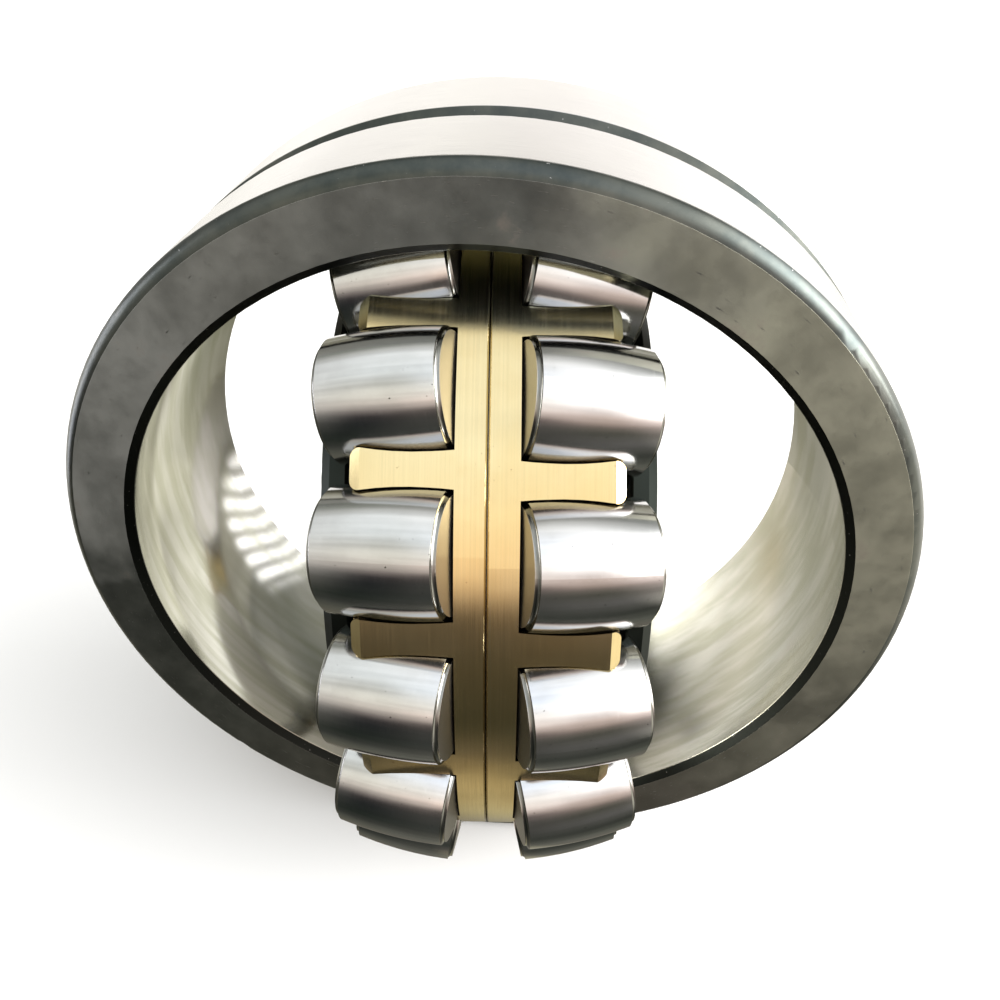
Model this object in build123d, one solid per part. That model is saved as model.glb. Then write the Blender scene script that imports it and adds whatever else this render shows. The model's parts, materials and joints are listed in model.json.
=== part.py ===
from build123d import *

import os
from math import cos, radians, sin, sqrt, tan

os.makedirs("parts", exist_ok=True)

# Double row spherical roller bearing with a two piece machined cage, in millimetres.
# The origin is the bearing's centre. The outer ring's axis is +Y, and +Z is up.
# The inner ring, cages and rollers are swung about Z until they stand across the outer ring.

# Boundary dimensions, ISO 15 dimension series 23
BORE_RADIUS = 85.0
OUTER_RADIUS = 180.0
WIDTH = 120.0
HALF_WIDTH = WIDTH / 2

# Raceways and rollers
SPHERE_RADIUS = 161.0
CONTACT_ANGLE = 13.2
ROLLERS_PER_ROW = 16
ROLLER_RADIUS = 23.0
ROLLER_LENGTH = 43.0
ROLLER_CORNER = 1.6
RUNNING_GAP = 0.3

# Outer ring
OUTER_CHAMFER = 5.0
OUTER_CHAMFER_BULGE = 8.0
RACEWAY_CHAMFER = 3.3
GROOVE_WIDTH = 14.6
GROOVE_FLOOR_WIDTH = 9.0
GROOVE_DEPTH = 4.5
LUBE_HOLE_RADIUS = 4.5
LUBE_HOLE_ANGLES = (60, 180, 300)

# Inner ring
LAND_RADIUS = 117.4
FLANGE_RADIUS = 116.0
FLANGE_GAP = 0.9
INNER_CHAMFER = 3.5
RELIEF_WIDTH = 2.0
RELIEF_DEPTH = 1.2
FLANGE_EDGE = 0.8

# Guide ring
GUIDE_BORE_RADIUS = 117.9
GUIDE_OUTER_RADIUS = 130.0
GUIDE_FLANK_GAP = 0.4

# Cages
CAGE_RADIUS = 143.9
WEB_BORE_RADIUS = 130.7
WEB_HALF_WIDTH = 10.7
SEAM_GAP = 0.5
SEAM_CHAMFER = 0.5
BAR_TIP = 44.7
BAR_FOOT_RADIUS = 121.5
BAR_ROOT_RADIUS = 125.5
TIP_CHAMFER_LENGTH = 3.4
TIP_CHAMFER_DEPTH = 2.2
TIP_CORNER = 2.7
POCKET_CLEARANCE = 0.5
POCKET_AT_WEB = 20.95
POCKET_AT_WAIST = 22.5
POCKET_AT_TIP = 21.2
WAIST = 27.5

# How the inner assembly stands at rest
REST_SWING = 4.46
LEFT_PHASE = 31.56
RIGHT_PHASE = 30.19

# Derived geometry, as (along the inner axis, away from the inner axis)
SLOPE = tan(radians(CONTACT_ANGLE))
ACROSS = (sin(radians(CONTACT_ANGLE)), cos(radians(CONTACT_ANGLE)))
BARREL_RADIUS = SPHERE_RADIUS - RUNNING_GAP
CENTRE_DISTANCE = BARREL_RADIUS - ROLLER_RADIUS
ROLLER_X = CENTRE_DISTANCE * ACROSS[0]
PITCH_RADIUS = CENTRE_DISTANCE * ACROSS[1]
PITCH_ANGLE = 360 / ROLLERS_PER_ROW


def barrel_radius(along):
    """A roller's radius at a distance from its middle."""
    return ROLLER_RADIUS - BARREL_RADIUS + sqrt(BARREL_RADIUS**2 - along**2)


def end_plane(radius, side):
    """Where a roller's end face crosses a radius: side -1 is the inner end, +1 the outer one."""
    half = ROLLER_LENGTH / 2
    middle_x = ROLLER_X + side * half * cos(radians(CONTACT_ANGLE))
    middle_r = PITCH_RADIUS - side * half * sin(radians(CONTACT_ANGLE))
    return middle_x + (radius - middle_r) * SLOPE


def web_face(radius):
    """The web's conical flank, parallel to the rollers' inner ends."""
    return WEB_HALF_WIDTH + (radius - CAGE_RADIUS) * SLOPE


def lines(*points):
    """The straight edges that join points in order."""
    return [Line(start, end) for start, end in zip(points, points[1:])]


def turned(edges, axis):
    """The solid of revolution of a closed outline."""
    return revolve(make_face(edges), axis)


def turned_both_sides(half_outline):
    """Turns an outline about X, after adding its mirror image on the other side of x = 0."""
    other_half = [mirror(edge, Plane.YZ) for edge in half_outline]
    return turned(half_outline + other_half, Axis.X)


def groove_outline():
    """The lubrication groove's section in the outside of the outer ring."""
    floor = OUTER_RADIUS - GROOVE_DEPTH
    return [
        (OUTER_RADIUS, GROOVE_WIDTH / 2),
        (floor, GROOVE_FLOOR_WIDTH / 2),
        (floor, -GROOVE_FLOOR_WIDTH / 2),
        (OUTER_RADIUS, -GROOVE_WIDTH / 2),
    ]


def outer_ring():
    """One ring with a spherical raceway, an annular groove and radial lubrication holes."""
    raceway_y = HALF_WIDTH - RACEWAY_CHAMFER
    raceway_r = sqrt(SPHERE_RADIUS**2 - raceway_y**2)
    face_inside = raceway_r + RACEWAY_CHAMFER
    face_outside = OUTER_RADIUS - OUTER_CHAMFER
    seat_y = HALF_WIDTH - OUTER_CHAMFER
    outline = [
        ThreePointArc((raceway_r, -raceway_y), (SPHERE_RADIUS, 0), (raceway_r, raceway_y)),
        *lines((raceway_r, raceway_y), (face_inside, HALF_WIDTH), (face_outside, HALF_WIDTH)),
        RadiusArc((face_outside, HALF_WIDTH), (OUTER_RADIUS, seat_y), OUTER_CHAMFER_BULGE),
        *lines((OUTER_RADIUS, seat_y), *groove_outline(), (OUTER_RADIUS, -seat_y)),
        RadiusArc((OUTER_RADIUS, -seat_y), (face_outside, -HALF_WIDTH), OUTER_CHAMFER_BULGE),
        *lines((face_outside, -HALF_WIDTH), (face_inside, -HALF_WIDTH), (raceway_r, -raceway_y)),
    ]
    ring = turned(outline, Axis.Y)
    wall = OUTER_RADIUS - SPHERE_RADIUS
    hole = Pos(0, 0, SPHERE_RADIUS + wall / 2) * Cylinder(LUBE_HOLE_RADIUS, 2 * wall)
    return ring - [Rot(0, angle, 0) * hole for angle in LUBE_HOLE_ANGLES]


def inner_ring():
    """The bored ring with two concave raceways and a retaining flange at each side."""
    arc_x = ROLLER_X + CENTRE_DISTANCE * ACROSS[0]
    arc_r = PITCH_RADIUS + CENTRE_DISTANCE * ACROSS[1]

    def raceway(x):
        return arc_r - sqrt(SPHERE_RADIUS**2 - (x - arc_x) ** 2)

    def flank(radius):
        return end_plane(radius, +1) + FLANGE_GAP

    land_x = arc_x - sqrt(SPHERE_RADIUS**2 - (arc_r - LAND_RADIUS) ** 2)
    relief_end = flank(raceway(flank(LAND_RADIUS)))
    relief_start = relief_end - RELIEF_WIDTH
    relief_x = (relief_start + relief_end) / 2
    flank_start = (relief_end, raceway(relief_end))
    flange_r = FLANGE_RADIUS - FLANGE_EDGE
    chamfer_x = HALF_WIDTH - INNER_CHAMFER
    raceway_x = (land_x + relief_start) / 2
    half_outline = [
        Line((0, LAND_RADIUS), (land_x, LAND_RADIUS)),
        ThreePointArc(
            (land_x, LAND_RADIUS), (raceway_x, raceway(raceway_x)), (relief_start, raceway(relief_start))
        ),
        ThreePointArc(
            (relief_start, raceway(relief_start)), (relief_x, raceway(relief_x) - RELIEF_DEPTH), flank_start
        ),
        *lines(
            flank_start,
            (flank(flange_r), flange_r),
            (flank(FLANGE_RADIUS) + FLANGE_EDGE, FLANGE_RADIUS),
            (chamfer_x, FLANGE_RADIUS),
            (HALF_WIDTH, FLANGE_RADIUS - INNER_CHAMFER),
            (HALF_WIDTH, BORE_RADIUS + INNER_CHAMFER),
            (chamfer_x, BORE_RADIUS),
            (0, BORE_RADIUS),
        ),
    ]
    return turned_both_sides(half_outline)


def guide_ring():
    """The loose ring that floats between the two rows and steers the rollers' inner ends."""

    def flank(radius):
        return end_plane(radius, -1) - GUIDE_FLANK_GAP

    return turned_both_sides(
        lines(
            (0, GUIDE_BORE_RADIUS),
            (flank(GUIDE_BORE_RADIUS), GUIDE_BORE_RADIUS),
            (flank(GUIDE_OUTER_RADIUS), GUIDE_OUTER_RADIUS),
            (0, GUIDE_OUTER_RADIUS),
        )
    )


def barrel(clearance, half_length, corner):
    """A barrel about X: a roller, or the bore of its pocket."""
    shoulder = half_length - corner
    shoulder_r = barrel_radius(shoulder) + clearance
    profile = [
        Line((-half_length, 0), (half_length, 0)),
        ThreePointArc((-shoulder, shoulder_r), (0, ROLLER_RADIUS + clearance), (shoulder, shoulder_r)),
    ]
    for side in (-1, 1):
        end = side * half_length
        profile.append(Line((end, 0), (end, shoulder_r - corner)))
        if corner:
            profile.append(RadiusArc((end, shoulder_r - corner), (side * shoulder, shoulder_r), side * corner))
    return turned(profile, Axis.X)


def in_row(shape):
    """Puts a shape made about X at a roller's place, above the bearing's centre."""
    return Pos(ROLLER_X, PITCH_RADIUS, 0) * Rot(0, 0, -CONTACT_ANGLE) * shape


def pocket_mouth():
    """The upper part of a pocket: it narrows at the web and at the bar tips, whose corners it rounds."""
    corner_x = BAR_TIP - TIP_CORNER
    beyond = BAR_TIP + TIP_CORNER
    inside = web_face(WEB_BORE_RADIUS) - SEAM_GAP
    edge = POCKET_AT_TIP + TIP_CORNER
    outline = [Line((inside, -POCKET_AT_WEB), (inside, POCKET_AT_WEB)), Line((beyond, -edge), (beyond, edge))]
    for side in (-1, 1):
        side_start = (inside, side * POCKET_AT_WEB)
        side_end = (corner_x, side * POCKET_AT_TIP)
        round_end = (BAR_TIP, side * edge)
        outline.append(ThreePointArc(side_start, (WAIST, side * POCKET_AT_WAIST), side_end))
        outline.append(RadiusArc(side_end, round_end, -side * TIP_CORNER))
        outline.append(Line(round_end, (beyond, side * edge)))
    plan = Plane(origin=(0, PITCH_RADIUS, 0), x_dir=(1, 0, 0), z_dir=(0, 1, 0))
    return extrude(plan * make_face(outline), CAGE_RADIUS)


def cage():
    """One comb shaped cage, on the +X side: a web with a bar between each two rollers."""
    overlap = 1.0
    face_x = SEAM_GAP / 2
    chamfer_x = face_x + SEAM_CHAMFER
    web = turned(
        lines(
            (face_x, CAGE_RADIUS - SEAM_CHAMFER),
            (chamfer_x, CAGE_RADIUS),
            (web_face(CAGE_RADIUS), CAGE_RADIUS),
            (web_face(WEB_BORE_RADIUS), WEB_BORE_RADIUS),
            (chamfer_x, WEB_BORE_RADIUS),
            (face_x, WEB_BORE_RADIUS + SEAM_CHAMFER),
            (face_x, CAGE_RADIUS - SEAM_CHAMFER),
        ),
        Axis.X,
    )
    root_x = web_face(WEB_BORE_RADIUS) + overlap
    bars = turned(
        lines(
            (web_face(CAGE_RADIUS) - overlap, CAGE_RADIUS),
            (BAR_TIP - TIP_CHAMFER_LENGTH, CAGE_RADIUS),
            (BAR_TIP, CAGE_RADIUS - TIP_CHAMFER_DEPTH),
            (BAR_TIP, BAR_FOOT_RADIUS),
            (root_x + WEB_BORE_RADIUS - BAR_ROOT_RADIUS, BAR_ROOT_RADIUS),
            (root_x, WEB_BORE_RADIUS),
            (web_face(WEB_BORE_RADIUS) - overlap, WEB_BORE_RADIUS),
            (web_face(CAGE_RADIUS) - overlap, CAGE_RADIUS),
        ),
        Axis.X,
    )
    bore = in_row(barrel(POCKET_CLEARANCE, 2 * ROLLER_LENGTH / 3, 0))
    pocket = bore + pocket_mouth()
    bars -= [Rot(index * PITCH_ANGLE, 0, 0) * pocket for index in range(ROLLERS_PER_ROW)]
    return web + bars


def at_rest(shape):
    """Swings a piece of the inner assembly to where it stands at rest."""
    return Rot(0, 0, REST_SWING) * shape


def row_angle(phase, index):
    """The turn about X that takes +Y to one roller of a row, counted from the front upwards."""
    return 180 - phase - index * PITCH_ANGLE


def write(name, shape):
    """Writes one piece as its own file."""
    shape.label = name
    export_step(shape, os.path.join("parts", name + ".step"))


right_cage = cage()
right_roller = in_row(barrel(0, ROLLER_LENGTH / 2, ROLLER_CORNER))
rows = {
    "left": (LEFT_PHASE, mirror(right_cage, Plane.YZ), mirror(right_roller, Plane.YZ)),
    "right": (RIGHT_PHASE, right_cage, right_roller),
}

write("outer_ring", outer_ring())
write("inner_ring", at_rest(inner_ring()))
write("guide_ring", at_rest(guide_ring()))
for row, (phase, row_cage, row_roller) in rows.items():
    write("cage_" + row, at_rest(Rot(row_angle(phase, 0), 0, 0) * row_cage))
    for index in range(ROLLERS_PER_ROW):
        roller = Rot(row_angle(phase, index), 0, 0) * row_roller
        write(f"roller_{row}_{index + 1:02d}", at_rest(roller))
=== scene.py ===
import json
import math
import bpy
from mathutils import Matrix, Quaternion, Vector


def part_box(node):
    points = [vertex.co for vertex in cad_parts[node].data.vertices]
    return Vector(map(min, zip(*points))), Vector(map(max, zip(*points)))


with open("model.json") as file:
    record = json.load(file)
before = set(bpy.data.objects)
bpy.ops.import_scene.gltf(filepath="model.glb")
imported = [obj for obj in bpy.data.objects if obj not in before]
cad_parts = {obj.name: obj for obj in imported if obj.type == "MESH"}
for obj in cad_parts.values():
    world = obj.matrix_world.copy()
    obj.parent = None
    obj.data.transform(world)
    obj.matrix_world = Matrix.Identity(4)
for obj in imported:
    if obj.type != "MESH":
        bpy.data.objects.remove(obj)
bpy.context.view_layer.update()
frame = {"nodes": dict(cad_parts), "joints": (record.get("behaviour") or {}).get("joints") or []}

# Everything is in metres, in the frame of the CAD model: the bearing's centre is the origin,
# the outer ring's axis is Y, the camera is on the -Y side and Z is up.
LOW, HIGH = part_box("outer_ring")
OUTER_RADIUS = HIGH.x
HALF_WIDTH = HIGH.y
SPHERE_RADIUS = 0.161
ROLLER_HALF_LENGTH = 0.0215
BORE_RADIUS = 0.085
FLANGE_START = 0.0485
MM = 0.001
JOINTS = {joint["child"]: joint for joint in frame["joints"]}


# ---------------------------------------------------------------- shader helpers

class Shader:
    """A material's node tree, written as expressions."""

    def __init__(self, name):
        self.material = bpy.data.materials.new(name)
        self.material.use_nodes = True
        self.tree = self.material.node_tree
        self.principled = self.tree.nodes["Principled BSDF"]

    @classmethod
    def of_tree(cls, tree):
        """The same helpers for a node tree that isn't a material's."""
        made = cls.__new__(cls)
        made.tree = tree
        return made

    def node(self, kind, settings=None, inputs=None):
        made = self.tree.nodes.new(kind)
        for key, value in (settings or {}).items():
            setattr(made, key, value)
        for key, value in (inputs or {}).items():
            self.feed(made.inputs[key], value)
        return made

    def feed(self, socket, value):
        if isinstance(value, bpy.types.NodeSocket):
            self.tree.links.new(value, socket)
        else:
            socket.default_value = value

    def math(self, operation, *values):
        return self.node("ShaderNodeMath", {"operation": operation}, dict(enumerate(values))).outputs[0]

    def vector(self, operation, *values):
        made = self.node("ShaderNodeVectorMath", {"operation": operation}, dict(enumerate(values)))
        return made.outputs["Value" if operation in ("DOT_PRODUCT", "LENGTH") else "Vector"]

    def scaled(self, vector, factor):
        made = self.node("ShaderNodeVectorMath", {"operation": "SCALE"}, {0: vector, "Scale": factor})
        return made.outputs["Vector"]

    def combine(self, x, y, z):
        return self.node("ShaderNodeCombineXYZ", None, {0: x, 1: y, 2: z}).outputs[0]

    def xyz(self, vector):
        return self.node("ShaderNodeSeparateXYZ", None, {0: vector}).outputs

    def product(self, first, *others):
        for other in others:
            first = self.math("MULTIPLY", first, other)
        return first

    def step(self, value, low, high, start=0.0, end=1.0):
        """A smooth change from start to end as value goes from low to high."""
        settings = {"interpolation_type": "SMOOTHSTEP"}
        inputs = {"Value": value, "From Min": low, "From Max": high, "To Min": start, "To Max": end}
        return self.node("ShaderNodeMapRange", settings, inputs).outputs["Result"]

    def mix(self, factor, first, second):
        """A colour between two colours."""
        made = self.node("ShaderNodeMix", {"data_type": "RGBA"})
        self.feed(made.inputs[0], factor)
        self.feed(made.inputs[6], first)
        self.feed(made.inputs[7], second)
        return made.outputs[2]

    def blend(self, factor, first, second):
        """A number between two numbers."""
        made = self.node("ShaderNodeMix", {"data_type": "FLOAT"})
        self.feed(made.inputs[0], factor)
        self.feed(made.inputs[2], first)
        self.feed(made.inputs[3], second)
        return made.outputs[0]

    def noise(self, vector, scale, detail=2.0, roughness=0.5):
        inputs = {"Vector": vector, "Scale": scale, "Detail": detail, "Roughness": roughness}
        return self.node("ShaderNodeTexNoise", None, inputs).outputs[0]

    def ramp(self, position, stops):
        """A colour read off a scale of (position, colour) stops, with positions from 0 to 1."""
        made = self.node("ShaderNodeValToRGB", None, {0: position})
        elements = made.color_ramp.elements
        elements.remove(elements[0])
        elements[0].position = stops[0][0]
        elements[0].color = (*stops[0][1], 1)
        for place, colour in stops[1:]:
            elements.new(place).color = (*colour, 1)
        return made.outputs[0]

    def bump(self, height, distance, strength=1.0, normal=None):
        inputs = {"Height": height, "Distance": distance, "Strength": strength}
        if normal is not None:
            inputs["Normal"] = normal
        return self.node("ShaderNodeBump", None, inputs).outputs[0]

    def finish(self, **inputs):
        for name, value in inputs.items():
            self.feed(self.principled.inputs[name.replace("_", " ")], value)
        return self.material


class Turned:
    """Coordinates on a turned or ground piece: along its axis, away from it, and along its tool marks."""

    def __init__(self, shader, centre, axis):
        place = shader.node("ShaderNodeTexCoord").outputs["Object"]
        self.place = shader.vector("SUBTRACT", place, tuple(centre))
        self.along = shader.vector("DOT_PRODUCT", self.place, tuple(axis))
        axial = shader.scaled(tuple(axis), self.along)
        across = shader.vector("SUBTRACT", self.place, axial)
        self.radius = shader.vector("LENGTH", across)
        self.around = shader.vector("NORMALIZE", across)
        self.shader = shader

    def marks(self, pitch, length, detail=3.0):
        """Fine lines that run round the axis: pitch is their spacing and length how far one reaches."""
        shader = self.shader
        lay = shader.math("ADD", self.along, self.radius)
        lay = shader.math("DIVIDE", lay, pitch)
        turn = shader.scaled(self.around, 1.0 / length)
        x, y, z = shader.xyz(turn)
        vector = shader.combine(lay, shader.math("ADD", x, z), shader.math("SUBTRACT", y, z))
        return shader.noise(vector, 1.0, detail)


def paint(name, material):
    """Gives a CAD piece its finish."""
    frame["nodes"][name].material_slots[0].material = material


# ---------------------------------------------------------------- finishes

# Colours. A pair is the two ends of a cloudy change.
FACE_BLUSH = (0.40, 0.35, 0.31, 1)
FACE_SCRATCH = (0.50, 0.50, 0.47, 1)
GROUND_OUTSIDE = (0.505, 0.495, 0.475, 1), (0.48, 0.47, 0.455, 1)
POLISHED_RACEWAY = (0.585, 0.58, 0.53, 1), (0.465, 0.465, 0.385, 1)
RACEWAY_STAIN = (0.55, 0.52, 0.47, 1)
HARDENED_CHAMFER = (0.046, 0.054, 0.052, 1), (0.085, 0.09, 0.08, 1)
DARK_BEVEL = (0.016, 0.018, 0.016, 1)
CHAMFER_NICK = (0.4, 0.4, 0.4, 1)
GROUND_INNER_RING = (0.52, 0.52, 0.50, 1), (0.58, 0.57, 0.54, 1)
SHADED_FLANGE = (0.020, 0.024, 0.021, 1)
GUIDE_STEEL = (0.40, 0.40, 0.38, 1)
HONED_BARREL = (0.55, 0.55, 0.55, 1), (0.50, 0.50, 0.495, 1)
BARREL_PIT = (0.12, 0.12, 0.11, 1)
BARREL_SCRATCH = (0.62, 0.62, 0.62, 1)
ROLLER_CORNER = (0.22, 0.22, 0.205, 1)
ROLLER_END = (0.48, 0.46, 0.42, 1)
BRASS = (0.61, 0.505, 0.28, 1), (0.57, 0.445, 0.22, 1)
SHADED_BRASS = (0.49, 0.47, 0.335, 1)
BRASS_PIT = (0.30, 0.20, 0.09, 1)
PALE_FLOOR = (0.72, 0.72, 0.715, 1)

# Painted light and shade on the outer ring's side faces, in degrees clockwise from the top; not a film.
# It repeats the photograph's light and dark stretches; its sharp step at nine o'clock copies retouching.
FACE_PAINTED_LIGHT = [
    (-180, (0.22, 0.215, 0.19)),
    (-130, (0.19, 0.20, 0.18)),
    (-92, (0.12, 0.13, 0.12)),
    (-82, (0.44, 0.455, 0.445)),
    (-74, (0.52, 0.535, 0.525)),
    (-50, (0.46, 0.475, 0.46)),
    (-28, (0.36, 0.37, 0.35)),
    (0, (0.18, 0.19, 0.18)),
    (12, (0.28, 0.285, 0.26)),
    (35, (0.52, 0.525, 0.43)),
    (90, (0.46, 0.455, 0.37)),
    (120, (0.28, 0.275, 0.23)),
    (150, (0.20, 0.19, 0.165)),
    (180, (0.22, 0.215, 0.19)),
]


def outer_ring_steel():
    """Ground outside, satin side faces, hazy polished raceway, dark chamfers, bevels and groove."""
    s = Shader("outer_ring_steel")
    t = Turned(s, (0, 0, 0), (0, 1, 0))
    side = s.math("ABSOLUTE", t.along)
    from_centre = s.vector("LENGTH", t.place)
    on_face = s.step(side, HALF_WIDTH - 0.04 * MM, HALF_WIDTH - 0.01 * MM)
    outside = s.step(t.radius, OUTER_RADIUS - 0.25 * MM, OUTER_RADIUS - 0.05 * MM)
    raceway = s.step(from_centre, SPHERE_RADIUS + 0.35 * MM, SPHERE_RADIUS + 0.1 * MM)
    cloud = s.noise(t.place, scale=14.0, detail=4.0, roughness=0.6)
    patch = s.noise(t.place, scale=45.0, detail=5.0, roughness=0.65)
    lines = t.marks(pitch=0.35 * MM, length=0.25)
    fine = t.marks(pitch=0.12 * MM, length=0.1)
    scratch = s.step(t.marks(pitch=0.8 * MM, length=0.03, detail=6.0), 0.66, 0.76)
    nick = s.step(s.noise(t.place, scale=900.0, detail=1.0), 0.77, 0.81)

    x, y, z = s.xyz(t.place)
    turn = s.math("MULTIPLY_ADD", s.math("ARCTAN2", x, z), 0.5 / math.pi, 0.5)
    turn = s.math("ADD", turn, s.step(cloud, 0.25, 0.75, -0.03, 0.03))
    # The side faces' colour carries painted light and shade round the ring, from the table above.
    face = s.ramp(turn, [((degrees + 180) / 360, colour) for degrees, colour in FACE_PAINTED_LIGHT])
    face = s.scaled(face, s.step(patch, 0.25, 0.75, 0.91, 1.09))
    face = s.mix(s.step(patch, 0.60, 0.75, 0.0, 0.5), face, FACE_BLUSH)
    face = s.mix(scratch, face, FACE_SCRATCH)
    ground = s.mix(s.step(cloud, 0.3, 0.7), *GROUND_OUTSIDE)
    haze = t.marks(pitch=7 * MM, length=0.5)
    race = s.mix(s.step(haze, 0.35, 0.65), *POLISHED_RACEWAY)
    race = s.mix(s.step(patch, 0.5, 0.75, 0.0, 0.3), race, RACEWAY_STAIN)
    dark = s.mix(s.step(patch, 0.3, 0.7), *HARDENED_CHAMFER)
    bevel = s.step(t.radius, SPHERE_RADIUS + 4 * MM, SPHERE_RADIUS + 1 * MM)
    dark = s.mix(bevel, dark, DARK_BEVEL)
    dark = s.mix(nick, dark, CHAMFER_NICK)
    colour = s.mix(on_face, dark, face)
    colour = s.mix(outside, colour, ground)
    colour = s.mix(raceway, colour, race)

    rough = s.blend(on_face, 0.28, s.step(patch, 0.3, 0.7, 0.48, 0.58))
    rough = s.blend(scratch, rough, 0.3)
    rough = s.blend(outside, rough, s.step(fine, 0.3, 0.7, 0.16, 0.24))
    # The haze on the right half is a guess, because reflections are blurred there in the photograph.
    oily = s.step(x, 20 * MM, 100 * MM, 0.0, 0.09)
    rough = s.blend(raceway, rough, s.math("ADD", s.step(haze, 0.3, 0.7, 0.09, 0.13), oily))
    relief = s.blend(raceway, 1.0, 0.1)
    normal = s.bump(s.product(lines, relief), 0.02 * MM, 0.5)
    normal = s.bump(s.product(fine, relief), 0.008 * MM, 0.5, normal)
    return s.finish(Base_Color=colour, Metallic=1.0, Roughness=rough, Normal=normal)


def inner_ring_steel():
    """Ground faces, bore and raceways, and flanges darkened with painted shade."""
    joint = JOINTS["inner_ring"]
    s = Shader("inner_ring_steel")
    t = Turned(s, joint["pos_m"], joint["axis"])
    lines = t.marks(pitch=0.3 * MM, length=0.25)
    cloud = s.noise(t.place, scale=25.0, detail=4.0, roughness=0.6)
    side = s.math("ABSOLUTE", t.along)
    on_face = s.step(side, HALF_WIDTH - 0.12 * MM, HALF_WIDTH - 0.02 * MM)
    flange = s.step(side, FLANGE_START - 0.3 * MM, FLANGE_START)
    outside = s.step(t.radius, BORE_RADIUS + 4 * MM, BORE_RADIUS + 5 * MM)
    # Painted shade: the flanges are coloured nearly black where they lie in shade.
    dark = s.product(flange, outside, s.math("SUBTRACT", 1.0, on_face))
    colour = s.mix(dark, s.mix(s.step(cloud, 0.3, 0.7), *GROUND_INNER_RING), SHADED_FLANGE)
    rough = s.blend(dark, s.step(cloud, 0.3, 0.7, 0.06, 0.10), 0.42)
    rough = s.blend(on_face, rough, 0.035)
    normal = s.bump(lines, s.blend(on_face, 0.02 * MM, 0.002 * MM), 0.5)
    return s.finish(Base_Color=colour, Metallic=1.0, Roughness=rough, Normal=normal)


def guide_ring_steel():
    """Satin turned steel."""
    joint = JOINTS["inner_ring"]
    s = Shader("guide_ring_steel")
    t = Turned(s, joint["pos_m"], joint["axis"])
    lines = t.marks(pitch=0.3 * MM, length=0.25)
    rough = s.step(lines, 0.3, 0.7, 0.3, 0.42)
    normal = s.bump(lines, 0.02 * MM, 0.5)
    return s.finish(Base_Color=GUIDE_STEEL, Metallic=1.0, Roughness=rough, Normal=normal)


def roller_steel(name):
    """A honed barrel with pits and fine scratches, a dark corner at each end and a satin end face."""
    joint = JOINTS[name]
    s = Shader(name + "_steel")
    t = Turned(s, joint["pos_m"], joint["axis"])
    side = s.math("ABSOLUTE", t.along)
    end = s.step(side, ROLLER_HALF_LENGTH - 0.15 * MM, ROLLER_HALF_LENGTH - 0.05 * MM)
    corner = s.step(side, ROLLER_HALF_LENGTH - 1.7 * MM, ROLLER_HALF_LENGTH - 1.5 * MM)
    fine = t.marks(pitch=0.15 * MM, length=0.3)
    cloud = s.noise(t.place, scale=60.0, detail=4.0, roughness=0.6)
    pit = s.step(s.noise(t.place, scale=900.0, detail=1.0), 0.76, 0.82)
    scratch = s.step(t.marks(pitch=0.7 * MM, length=0.25, detail=6.0), 0.68, 0.76, 0.0, 0.6)
    barrel = s.mix(s.step(cloud, 0.3, 0.7), *HONED_BARREL)
    barrel = s.mix(pit, barrel, BARREL_PIT)
    barrel = s.mix(scratch, barrel, BARREL_SCRATCH)
    colour = s.mix(corner, barrel, ROLLER_CORNER)
    colour = s.mix(end, colour, ROLLER_END)
    rough = s.blend(scratch, s.step(fine, 0.3, 0.7, 0.10, 0.16), 0.26)
    rough = s.blend(end, rough, 0.3)
    normal = s.bump(fine, 0.006 * MM, 0.5)
    return s.finish(Base_Color=colour, Metallic=1.0, Roughness=rough, Normal=normal)


def cage_brass(name):
    """Turned brass with tool lines and a light tarnish, and painted shade under the outer ring at rest.

    That stretch is greyer in the photograph, and the grey is painted shade."""
    joint = JOINTS[name]
    s = Shader(name + "_brass")
    t = Turned(s, joint["pos_m"], joint["axis"])
    lines = t.marks(pitch=0.25 * MM, length=0.15)
    cloud = s.noise(t.place, scale=22.0, detail=4.0, roughness=0.6)
    pit = s.step(s.noise(t.place, scale=800.0, detail=1.0), 0.76, 0.82)
    lathe = s.combine(s.math("DIVIDE", t.along, 1.1 * MM), s.math("DIVIDE", t.radius, 4 * MM), 0.0)
    streak = s.noise(lathe, scale=1.0, detail=5.0, roughness=0.7)
    x, y, z = s.xyz(t.place)
    # Painted shade: a greyed, duller stretch of brass where the outer ring covers the cage's top at rest.
    wavy = s.math("MULTIPLY_ADD", cloud, 20 * MM, y)
    front = s.step(wavy, 1 * MM - HALF_WIDTH, 11 * MM - HALF_WIDTH)
    rear = s.step(y, HALF_WIDTH + 10 * MM, HALF_WIDTH - 20 * MM)
    top = s.step(z, 20 * MM, 70 * MM)
    colour = s.mix(s.step(cloud, 0.3, 0.7), *BRASS)
    colour = s.scaled(colour, s.step(streak, 0.25, 0.75, 0.95, 1.05))
    # Painted shade greys the brass under the outer ring's top.
    colour = s.mix(s.product(front, rear, top), colour, SHADED_BRASS)
    colour = s.mix(pit, colour, BRASS_PIT)
    rough = s.step(lines, 0.25, 0.75, 0.15, 0.23)
    normal = s.bump(lines, 0.012 * MM, 0.5)
    return s.finish(Base_Color=colour, Metallic=1.0, Roughness=rough, Normal=normal)


paint("outer_ring", outer_ring_steel())
paint("inner_ring", inner_ring_steel())
paint("guide_ring", guide_ring_steel())
for node_name in frame["nodes"]:
    if node_name.startswith("roller_"):
        paint(node_name, roller_steel(node_name))
    if node_name.startswith("cage_"):
        paint(node_name, cage_brass(node_name))


# ---------------------------------------------------------------- stage, light and camera

LIGHT = 1.48

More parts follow.
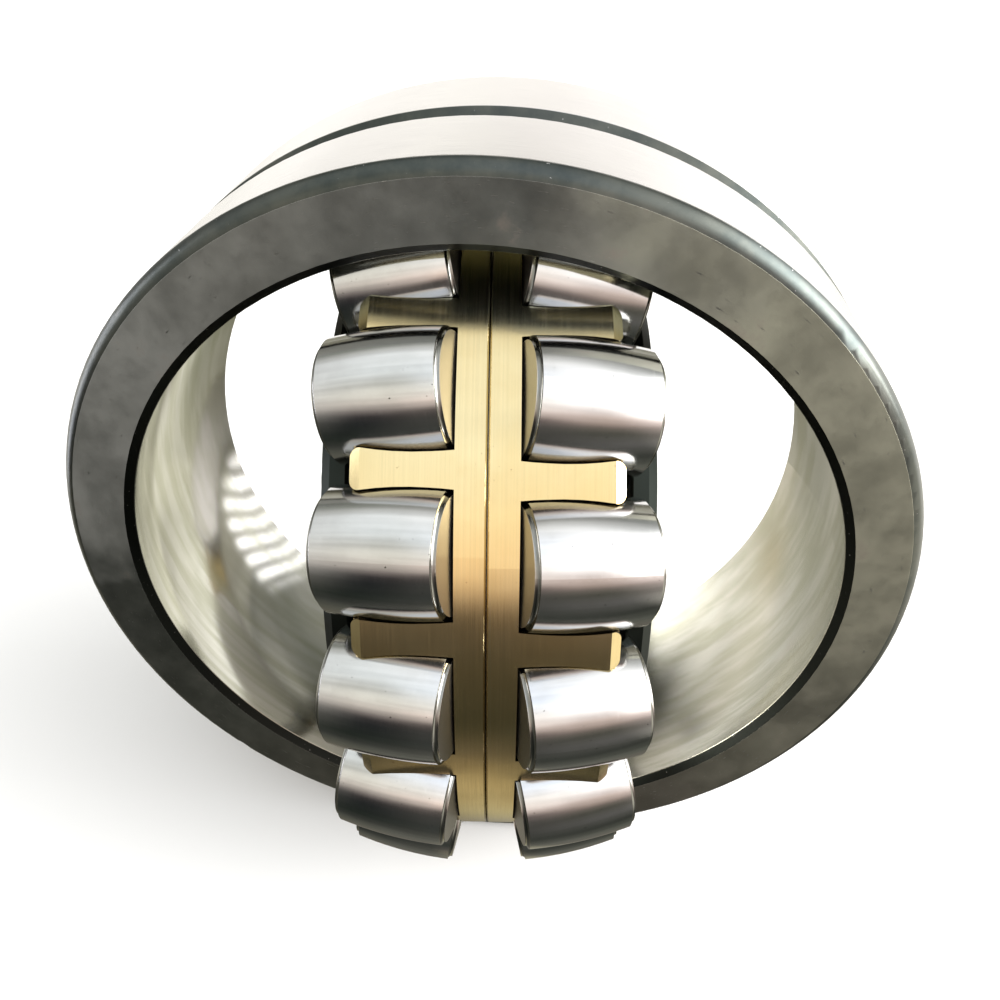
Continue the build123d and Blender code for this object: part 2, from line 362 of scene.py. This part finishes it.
# The lamps behind louvres at far left, as directions from the bearing. Each pair is where their
# light starts and where it is full: on X, on Y, and on a rise that climbs with Z and slants with Y.
LOUVRE_LIGHT = 3.4
LOUVRE_BLUE = 1.12
LOUVRE_SLANT = 0.76
LOUVRE_EDGE = (-0.86, -0.92)
LOUVRE_FRONT = (-0.16, -0.06)
LOUVRE_REAR = (0.36, 0.30)
LOUVRE_BOTTOM = (-0.38, -0.28)
LOUVRE_TOP = (0.42, 0.28)
SLAT_PITCH = 0.09

# The light of the studio, as seen from the bearing. It was set from the colours that the polished
# pieces show in the photograph, and tuned in renders. Each column looks out at one value of the view's
# left-right part, from -1 for far left to 1 for far right. Its angles go from straight down at -90 over
# the front horizon at 0 and the zenith at 90 to the back horizon at 180.
SKY = {
    -0.92: [
        (-180, (0.55, 0.54, 0.5)),
        (-140, (0.60, 0.58, 0.50)),
        (-100, (0.20, 0.19, 0.15)),
        (-60, (0.10, 0.10, 0.08)),
        (-20, (0.22, 0.21, 0.18)),
        (10, (0.65, 0.62, 0.56)),
        (60, (0.85, 0.85, 0.82)),
        (110, (0.60, 0.60, 0.58)),
        (140, (0.35, 0.36, 0.33)),
        (165, (0.36, 0.36, 0.34)),
    ],
    -0.45: [
        (-180, (1.10, 1.07, 1.02)),
        (-145, (0.40, 0.39, 0.33)),
        (-110, (0.12, 0.11, 0.08)),
        (-85, (0.09, 0.09, 0.07)),
        (-66, (0.045, 0.047, 0.040)),
        (-48, (0.020, 0.025, 0.020)),
        (-16, (0.018, 0.020, 0.020)),
        (-4, (0.040, 0.036, 0.036)),
        (4, (0.20, 0.17, 0.155)),
        (18, (0.70, 0.63, 0.55)),
        (32, (0.96, 0.92, 0.81)),
        (50, (0.64, 0.64, 0.58)),
        (73, (0.90, 0.94, 0.93)),
        (104, (0.93, 0.96, 0.95)),
        (113, (0.62, 0.63, 0.60)),
        (123, (0.30, 0.31, 0.27)),
        (135, (0.10, 0.105, 0.09)),
        (152, (0.10, 0.10, 0.09)),
        (164, (1.05, 1.02, 0.98)),
    ],
    -0.14: [
        (-180, (1.12, 1.09, 1.04)),
        (-145, (0.40, 0.38, 0.32)),
        (-110, (0.12, 0.11, 0.09)),
        (-85, (0.12, 0.12, 0.10)),
        (-60, (0.065, 0.065, 0.055)),
        (-40, (0.045, 0.048, 0.042)),
        (-12, (0.060, 0.058, 0.052)),
        (2, (0.12, 0.10, 0.09)),
        (18, (0.95, 0.80, 0.70)),
        (34, (1.08, 1.03, 0.94)),
        (60, (1.04, 1.10, 1.14)),
        (104, (1.05, 1.06, 1.04)),
        (122, (0.35, 0.35, 0.32)),
        (135, (0.14, 0.14, 0.12)),
        (152, (0.16, 0.16, 0.15)),
        (164, (1.08, 1.05, 1.00)),
    ],
    0.0: [
        (-180, (1.12, 1.10, 1.05)),
        (-145, (0.40, 0.38, 0.32)),
        (-112, (0.24, 0.23, 0.19)),
        (-95, (0.46, 0.43, 0.29)),
        (-68, (0.5, 0.43, 0.29)),
        (-54, (0.17, 0.15, 0.13)),
        (-40, (0.045, 0.050, 0.042)),
        (-12, (0.075, 0.070, 0.062)),
        (4, (0.075, 0.065, 0.058)),
        (9, (0.45, 0.34, 0.29)),
        (17, (1.22, 0.98, 0.82)),
        (34, (1.18, 1.12, 1.06)),
        (60, (1.10, 1.16, 1.26)),
        (90, (1.02, 1.08, 1.18)),
        (104, (0.90, 0.90, 0.86)),
        (122, (0.35, 0.35, 0.32)),
        (135, (0.12, 0.12, 0.105)),
        (152, (0.14, 0.14, 0.125)),
        (164, (1.10, 1.06, 1.02)),
    ],
    0.14: [
        (-180, (1.18, 1.16, 1.12)),
        (-146, (0.42, 0.40, 0.33)),
        (-142, (0.74, 0.72, 0.61)),
        (-138, (0.74, 0.72, 0.61)),
        (-133, (0.26, 0.26, 0.20)),
        (-110, (0.12, 0.11, 0.09)),
        (-85, (0.12, 0.12, 0.10)),
        (-60, (0.045, 0.048, 0.04)),
        (-40, (0.06, 0.06, 0.052)),
        (-12, (0.075, 0.070, 0.062)),
        (2, (0.16, 0.13, 0.12)),
        (10, (0.55, 0.45, 0.40)),
        (18, (1.10, 0.95, 0.86)),
        (36, (1.25, 1.18, 1.10)),
        (60, (1.10, 1.18, 1.30)),
        (104, (1.10, 1.10, 1.08)),
        (122, (0.40, 0.40, 0.37)),
        (135, (0.13, 0.13, 0.115)),
        (152, (0.15, 0.15, 0.135)),
        (164, (1.18, 1.14, 1.10)),
    ],
    0.58: [
        (-180, (1.40, 1.38, 1.34)),
        (-153, (0.86, 0.84, 0.75)),
        (-141, (0.70, 0.68, 0.57)),
        (-131, (0.34, 0.33, 0.27)),
        (-110, (0.13, 0.12, 0.09)),
        (-85, (0.095, 0.10, 0.08)),
        (-60, (0.042, 0.044, 0.037)),
        (-48, (0.085, 0.085, 0.074)),
        (-34, (0.125, 0.120, 0.112)),
        (-14, (0.090, 0.088, 0.070)),
        (-5, (0.15, 0.13, 0.108)),
        (2, (0.40, 0.31, 0.265)),
        (14, (0.76, 0.61, 0.53)),
        (25, (0.98, 0.87, 0.82)),
        (38, (1.60, 1.55, 1.52)),
        (60, (2.00, 2.00, 2.00)),
        (98, (1.60, 1.60, 1.60)),
        (110, (0.80, 0.81, 0.79)),
        (122, (0.42, 0.43, 0.41)),
        (135, (0.19, 0.20, 0.18)),
        (152, (0.16, 0.16, 0.15)),
        (164, (1.30, 1.28, 1.24)),
    ],
    0.93: [
        (-180, (1.90, 1.86, 1.78)),
        (-110, (1.20, 1.15, 1.00)),
        (-60, (1.35, 1.28, 1.10)),
        (-45, (1.25, 1.18, 1.02)),
        (-22, (0.42, 0.37, 0.33)),
        (0, (0.80, 0.66, 0.60)),
        (14, (1.90, 1.65, 1.55)),
        (32, (6.50, 6.35, 6.20)),
        (60, (14.0, 13.9, 13.8)),
        (105, (12.0, 11.9, 11.8)),
        (130, (5.00, 4.95, 4.90)),
        (150, (2.40, 2.36, 2.30)),
        (180, (1.90, 1.86, 1.78)),
    ],
}


def sky():
    """The studio's light: one ramp of colours for each column, and a smooth change between them.

    The camera itself sees a plain white backdrop."""
    world = bpy.data.worlds.new("studio")
    bpy.context.scene.world = world
    world.use_nodes = True
    s = Shader.of_tree(world.node_tree)
    direction = s.node("ShaderNodeTexCoord").outputs["Generated"]
    x, y, z = s.xyz(direction)
    angle = s.math("ARCTAN2", z, s.math("MULTIPLY", y, -1.0))
    position = s.math("MULTIPLY_ADD", angle, 0.5 / math.pi, 0.5)
    light = None
    before = None
    for column, stops in SKY.items():
        ramp = s.ramp(position, [((degrees + 180) / 360, colour) for degrees, colour in stops])
        if light is None:
            light = ramp
        else:
            light = s.mix(s.step(x, before, column), light, ramp)
        before = column
    drift = s.combine(s.math("MULTIPLY", angle, 9.0), s.math("MULTIPLY", x, 1.5), 0.0)
    streak = s.noise(drift, scale=1.0, detail=4.0, roughness=0.7)
    light = s.scaled(light, s.step(streak, 0.25, 0.75, 0.83, 1.17))
    rise = s.math("MULTIPLY_ADD", y, LOUVRE_SLANT, z)
    slat = s.math("SINE", s.math("MULTIPLY", rise, 2 * math.pi / SLAT_PITCH))
    window = s.product(s.step(x, *LOUVRE_EDGE), s.step(y, *LOUVRE_FRONT), s.step(y, *LOUVRE_REAR))
    louvre = s.product(window, s.step(rise, *LOUVRE_BOTTOM), s.step(rise, *LOUVRE_TOP))
    louvre = s.product(louvre, s.step(slat, -0.7, 0.5, 0.0, LOUVRE_LIGHT))
    light = s.vector("ADD", light, s.combine(louvre, louvre, s.math("MULTIPLY", louvre, LOUVRE_BLUE)))
    seen = s.node("ShaderNodeLightPath").outputs["Is Camera Ray"]
    background = s.tree.nodes["Background"]
    s.feed(background.inputs["Color"], s.mix(seen, light, (1, 1, 1, 1)))
    s.feed(background.inputs["Strength"], s.blend(seen, LIGHT, 1.0))


def floor():
    """A plain pale floor under the outer ring's rim, clear when it is seen from below."""
    size = 12.0
    mesh = bpy.data.meshes.new("floor")
    corners = [(-size, -size, LOW.z), (size, -size, LOW.z), (size, size, LOW.z), (-size, size, LOW.z)]
    mesh.from_pydata(corners, [], [(0, 1, 2, 3)])
    made = bpy.data.objects.new("floor", mesh)
    bpy.context.scene.collection.objects.link(made)
    s = Shader("pale_floor")
    made.data.materials.append(s.finish(Base_Color=PALE_FLOOR, Roughness=0.9))
    below = s.node("ShaderNodeNewGeometry").outputs["Backfacing"]
    clear = s.node("ShaderNodeBsdfTransparent").outputs[0]
    shown = s.node("ShaderNodeMixShader", None, {0: below, 1: s.principled.outputs[0], 2: clear})
    s.feed(s.tree.nodes["Material Output"].inputs["Surface"], shown.outputs[0])
    made.visible_glossy = False


def camera():
    """The view from in front, above and a little to the right, close to the bearing."""
    distance = 0.4175
    azimuth = math.radians(5.3)
    elevation = math.radians(37.78)
    roll = math.radians(0.24)
    aim = Vector((0.0006, -0.0043, -0.0054))
    data = bpy.data.cameras.new("camera")
    made = bpy.data.objects.new("camera", data)
    bpy.context.scene.collection.objects.link(made)
    flat = distance * math.cos(elevation)
    made.location = (flat * math.sin(azimuth), -flat * math.cos(azimuth), distance * math.sin(elevation))
    turn = (aim - made.location).to_track_quat("-Z", "Y") @ Quaternion((0, 0, 1), roll)
    made.rotation_euler = turn.to_euler()
    data.sensor_width = 36.0
    data.lens = 30.8
    data.shift_x = 0.0074
    data.shift_y = 0.0237
    data.clip_start = 0.01
    bpy.context.scene.camera = made


sky()
floor()
camera()
bpy.context.scene.view_settings.view_transform = "Standard"
